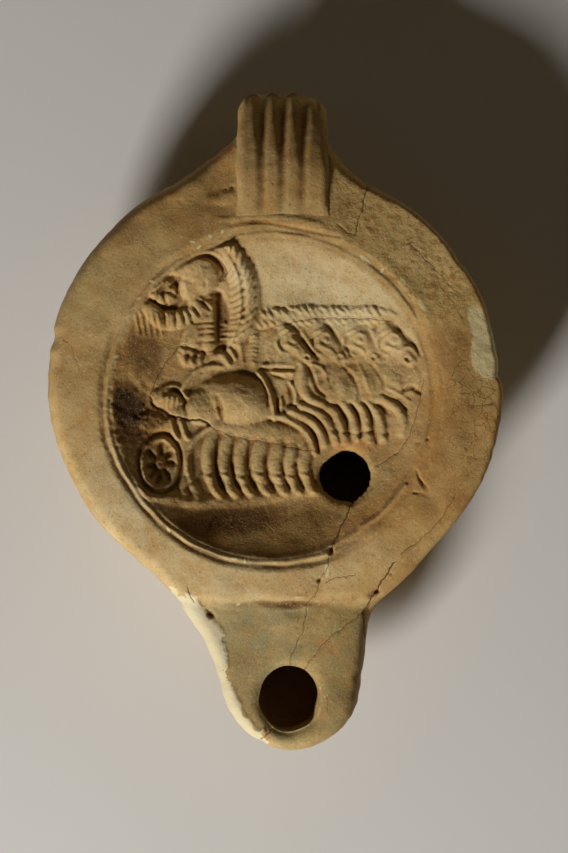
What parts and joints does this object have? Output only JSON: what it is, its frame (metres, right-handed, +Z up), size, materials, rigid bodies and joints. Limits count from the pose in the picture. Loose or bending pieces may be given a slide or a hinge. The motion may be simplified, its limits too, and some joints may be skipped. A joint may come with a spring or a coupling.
{
  "type": "roman oil lamp",
  "caption": "Mould-made fired clay oil lamp: hollow round body, sunken relief disc with filling hole, round nozzle, pierced ribbed handle.",
  "frame": {"origin": "centre of the flat base, on the surface that the lamp stands on", "axes": "+Z up, out of the relief disc; +Y towards the handle; -Y towards the nozzle; +X to the right of someone looking down with the nozzle nearest"},
  "size_m": [0.0826, 0.1198, 0.0276],
  "materials": {
    "fired_clay": "matt buff clay, worn, with dirt in its recesses and paler filling on its repairs"
  },
  "bodies": {
    "root": {"lamp": "fired_clay"}
  },
  "joints": []
}
